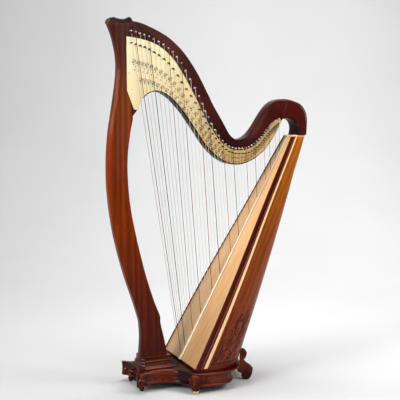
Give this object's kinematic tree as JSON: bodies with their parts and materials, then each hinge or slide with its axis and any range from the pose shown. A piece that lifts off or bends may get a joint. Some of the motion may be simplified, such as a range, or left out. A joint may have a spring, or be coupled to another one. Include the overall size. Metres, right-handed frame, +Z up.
{
  "type": "concert harp",
  "caption": "Free-standing pedal harp with a curved column, brass action plates, fork discs, a round-backed soundbox and a footed base with pedals.",
  "frame": {"origin": "on the floor, under the centre of the bounding box", "axes": "+Z up; the player sits at +X with the column away at -X; the strings hang on the -Y side of the neck"},
  "size_m": [1.0948, 0.5248, 1.83],
  "materials": {
    "neck_wood": "gloss lacquer, very dark red",
    "column_wood": "gloss lacquer, orange brown",
    "body_wood": "gloss lacquer, orange brown",
    "base_wood": "gloss lacquer, dark red brown",
    "spruce": "satin lacquer over amber spruce",
    "maple": "satin lacquer over pale maple",
    "brass": "polished, lacquered",
    "steel": "nickel plated",
    "wire": "wire wound",
    "gut": "translucent gut, satin"
  },
  "bodies": {
    "harp_frame": {"base": "base_wood", "base_underplate": "base_wood", "column_plinth": "base_wood", "column": "column_wood", "column_cap": "neck_wood", "neck": "neck_wood", "soundbox": "body_wood", "soundboard": "spruce", "string_rib": "maple", "shoulder_collar": "maple", "edge_moulding_near": "maple", "edge_moulding_far": "maple", "body_riser": "base_wood", "action_plate_near": "brass", "action_plate_far": "brass", "pedal_shaft": "steel", "wire_strings": "wire", "gut_strings_low": "gut", "gut_strings_high": "gut", "foot_front_near": "base_wood", "glide_front_near": "brass", "foot_front_far": "base_wood", "glide_front_far": "brass", "foot_middle_near": "base_wood", "glide_middle_near": "brass", "foot_middle_far": "base_wood", "glide_middle_far": "brass", "foot_rear_near": "base_wood", "glide_rear_near": "brass", "foot_rear_far": "base_wood", "glide_rear_far": "brass"},
    "pedal_d": {"pedal_d": "brass"},
    "pedal_c": {"pedal_c": "brass"},
    "pedal_b": {"pedal_b": "brass"},
    "pedal_e": {"pedal_e": "brass"},
    "pedal_f": {"pedal_f": "brass"},
    "pedal_g": {"pedal_g": "brass"},
    "pedal_a": {"pedal_a": "brass"},
    "tuning_pin_8": {"tuning_pin_8": "steel"},
    "natural_disc_8": {"natural_disc_8": "brass"},
    "sharp_disc_8": {"sharp_disc_8": "brass"},
    "tuning_pin_9": {"tuning_pin_9": "steel"},
    "natural_disc_9": {"natural_disc_9": "brass"},
    "sharp_disc_9": {"sharp_disc_9": "brass"},
    "tuning_pin_10": {"tuning_pin_10": "steel"},
    "natural_disc_10": {"natural_disc_10": "brass"},
    "sharp_disc_10": {"sharp_disc_10": "brass"},
    "tuning_pin_11": {"tuning_pin_11": "steel"},
    "natural_disc_11": {"natural_disc_11": "brass"},
    "sharp_disc_11": {"sharp_disc_11": "brass"},
    "tuning_pin_12": {"tuning_pin_12": "steel"},
    "natural_disc_12": {"natural_disc_12": "brass"},
    "sharp_disc_12": {"sharp_disc_12": "brass"},
    "tuning_pin_13": {"tuning_pin_13": "steel"},
    "natural_disc_13": {"natural_disc_13": "brass"},
    "sharp_disc_13": {"sharp_disc_13": "brass"},
    "tuning_pin_14": {"tuning_pin_14": "steel"},
    "natural_disc_14": {"natural_disc_14": "brass"},
    "sharp_disc_14": {"sharp_disc_14": "brass"}
  },
  "joints": [
    {"name": "pedal_d_press", "type": "hinge", "parent": "harp_frame", "child": "pedal_d", "pos_m": [0.0196, -0.072, 0.048], "axis": [0, 1, 0], "range_deg": [0, 7], "stiffness_Nm_per_rad": 8, "springref_deg": -8.59},
    {"name": "pedal_c_press", "type": "hinge", "parent": "harp_frame", "child": "pedal_c", "pos_m": [0.0196, -0.048, 0.048], "axis": [0, 1, 0], "range_deg": [0, 7], "stiffness_Nm_per_rad": 8, "springref_deg": -8.59},
    {"name": "pedal_b_press", "type": "hinge", "parent": "harp_frame", "child": "pedal_b", "pos_m": [0.0196, -0.024, 0.048], "axis": [0, 1, 0], "range_deg": [0, 7], "stiffness_Nm_per_rad": 8, "springref_deg": -8.59},
    {"name": "pedal_e_press", "type": "hinge", "parent": "harp_frame", "child": "pedal_e", "pos_m": [0.0196, 0, 0.048], "axis": [0, 1, 0], "range_deg": [0, 7], "stiffness_Nm_per_rad": 8, "springref_deg": -8.59},
    {"name": "pedal_f_press", "type": "hinge", "parent": "harp_frame", "child": "pedal_f", "pos_m": [0.0196, 0.024, 0.048], "axis": [0, 1, 0], "range_deg": [0, 7], "stiffness_Nm_per_rad": 8, "springref_deg": -8.59},
    {"name": "pedal_g_press", "type": "hinge", "parent": "harp_frame", "child": "pedal_g", "pos_m": [0.0196, 0.048, 0.048], "axis": [0, 1, 0], "range_deg": [0, 7], "stiffness_Nm_per_rad": 8, "springref_deg": -8.59},
    {"name": "pedal_a_press", "type": "hinge", "parent": "harp_frame", "child": "pedal_a", "pos_m": [0.0196, 0.072, 0.048], "axis": [0, 1, 0], "range_deg": [0, 7], "stiffness_Nm_per_rad": 8, "springref_deg": -8.59},
    {"name": "tuning_pin_8_turn", "type": "hinge", "parent": "harp_frame", "child": "tuning_pin_8", "pos_m": [-0.26239, 0.045, 1.70022], "axis": [0, 1, 0], "continuous": true},
    {"name": "natural_disc_8_turn", "type": "hinge", "parent": "harp_frame", "child": "natural_disc_8", "pos_m": [-0.2479, 0.01, 1.55388], "axis": [0, 1, 0], "range_deg": [-38, 0]},
    {"name": "sharp_disc_8_turn", "type": "hinge", "parent": "harp_frame", "child": "sharp_disc_8", "pos_m": [-0.24077, 0.01, 1.47994], "axis": [0, 1, 0], "range_deg": [-38, 0]},
    {"name": "tuning_pin_9_turn", "type": "hinge", "parent": "harp_frame", "child": "tuning_pin_9", "pos_m": [-0.2374, 0.045, 1.684], "axis": [0, 1, 0], "continuous": true},
    {"name": "natural_disc_9_turn", "type": "hinge", "parent": "harp_frame", "child": "natural_disc_9", "pos_m": [-0.22357, 0.01, 1.53598], "axis": [0, 1, 0], "range_deg": [-38, 0]},
    {"name": "sharp_disc_9_turn", "type": "hinge", "parent": "harp_frame", "child": "sharp_disc_9", "pos_m": [-0.21712, 0.01, 1.46431], "axis": [0, 1, 0], "range_deg": [-38, 0]},
    {"name": "tuning_pin_10_turn", "type": "hinge", "parent": "harp_frame", "child": "tuning_pin_10", "pos_m": [-0.21421, 0.045, 1.6657], "axis": [0, 1, 0], "continuous": true},
    {"name": "natural_disc_10_turn", "type": "hinge", "parent": "harp_frame", "child": "natural_disc_10", "pos_m": [-0.20032, 0.01, 1.5128], "axis": [0, 1, 0], "range_deg": [-38, 0]},
    {"name": "sharp_disc_10_turn", "type": "hinge", "parent": "harp_frame", "child": "sharp_disc_10", "pos_m": [-0.1944, 0.01, 1.44386], "axis": [0, 1, 0], "range_deg": [-38, 0]},
    {"name": "tuning_pin_11_turn", "type": "hinge", "parent": "harp_frame", "child": "tuning_pin_11", "pos_m": [-0.19216, 0.045, 1.64298], "axis": [0, 1, 0], "continuous": true},
    {"name": "natural_disc_11_turn", "type": "hinge", "parent": "harp_frame", "child": "natural_disc_11", "pos_m": [-0.17779, 0.01, 1.48388], "axis": [0, 1, 0], "range_deg": [-38, 0]},
    {"name": "sharp_disc_11_turn", "type": "hinge", "parent": "harp_frame", "child": "sharp_disc_11", "pos_m": [-0.17226, 0.01, 1.41815], "axis": [0, 1, 0], "range_deg": [-38, 0]},
    {"name": "tuning_pin_12_turn", "type": "hinge", "parent": "harp_frame", "child": "tuning_pin_12", "pos_m": [-0.1694, 0.045, 1.613], "axis": [0, 1, 0], "continuous": true},
    {"name": "natural_disc_12_turn", "type": "hinge", "parent": "harp_frame", "child": "natural_disc_12", "pos_m": [-0.15493, 0.01, 1.45384], "axis": [0, 1, 0], "range_deg": [-38, 0]},
    {"name": "sharp_disc_12_turn", "type": "hinge", "parent": "harp_frame", "child": "sharp_disc_12", "pos_m": [-0.14978, 0.01, 1.39146], "axis": [0, 1, 0], "range_deg": [-38, 0]},
    {"name": "tuning_pin_13_turn", "type": "hinge", "parent": "harp_frame", "child": "tuning_pin_13", "pos_m": [-0.14491, 0.045, 1.57567], "axis": [0, 1, 0], "continuous": true},
    {"name": "natural_disc_13_turn", "type": "hinge", "parent": "harp_frame", "child": "natural_disc_13", "pos_m": [-0.13104, 0.01, 1.42414], "axis": [0, 1, 0], "range_deg": [-38, 0]},
    {"name": "sharp_disc_13_turn", "type": "hinge", "parent": "harp_frame", "child": "sharp_disc_13", "pos_m": [-0.12633, 0.01, 1.36506], "axis": [0, 1, 0], "range_deg": [-38, 0]},
    {"name": "tuning_pin_14_turn", "type": "hinge", "parent": "harp_frame", "child": "tuning_pin_14", "pos_m": [-0.11978, 0.045, 1.53419], "axis": [0, 1, 0], "continuous": true},
    {"name": "natural_disc_14_turn", "type": "hinge", "parent": "harp_frame", "child": "natural_disc_14", "pos_m": [-0.10679, 0.01, 1.39368], "axis": [0, 1, 0], "range_deg": [-38, 0]},
    {"name": "sharp_disc_14_turn", "type": "hinge", "parent": "harp_frame", "child": "sharp_disc_14", "pos_m": [-0.10256, 0.01, 1.33791], "axis": [0, 1, 0], "range_deg": [-38, 0]}
  ],
  "couplings": [
    {"joint": "natural_disc_8_turn", "follows": "pedal_b_press", "ratio": -5.4},
    {"joint": "sharp_disc_8_turn", "follows": "pedal_b_press", "ratio": -5.4},
    {"joint": "natural_disc_9_turn", "follows": "pedal_c_press", "ratio": -5.4},
    {"joint": "sharp_disc_9_turn", "follows": "pedal_c_press", "ratio": -5.4},
    {"joint": "natural_disc_10_turn", "follows": "pedal_d_press", "ratio": -5.4},
    {"joint": "sharp_disc_10_turn", "follows": "pedal_d_press", "ratio": -5.4},
    {"joint": "natural_disc_11_turn", "follows": "pedal_e_press", "ratio": -5.4},
    {"joint": "sharp_disc_11_turn", "follows": "pedal_e_press", "ratio": -5.4},
    {"joint": "natural_disc_12_turn", "follows": "pedal_f_press", "ratio": -5.4},
    {"joint": "sharp_disc_12_turn", "follows": "pedal_f_press", "ratio": -5.4},
    {"joint": "natural_disc_13_turn", "follows": "pedal_g_press", "ratio": -5.4},
    {"joint": "sharp_disc_13_turn", "follows": "pedal_g_press", "ratio": -5.4},
    {"joint": "natural_disc_14_turn", "follows": "pedal_a_press", "ratio": -5.4},
    {"joint": "sharp_disc_14_turn", "follows": "pedal_a_press", "ratio": -5.4}
  ]
}
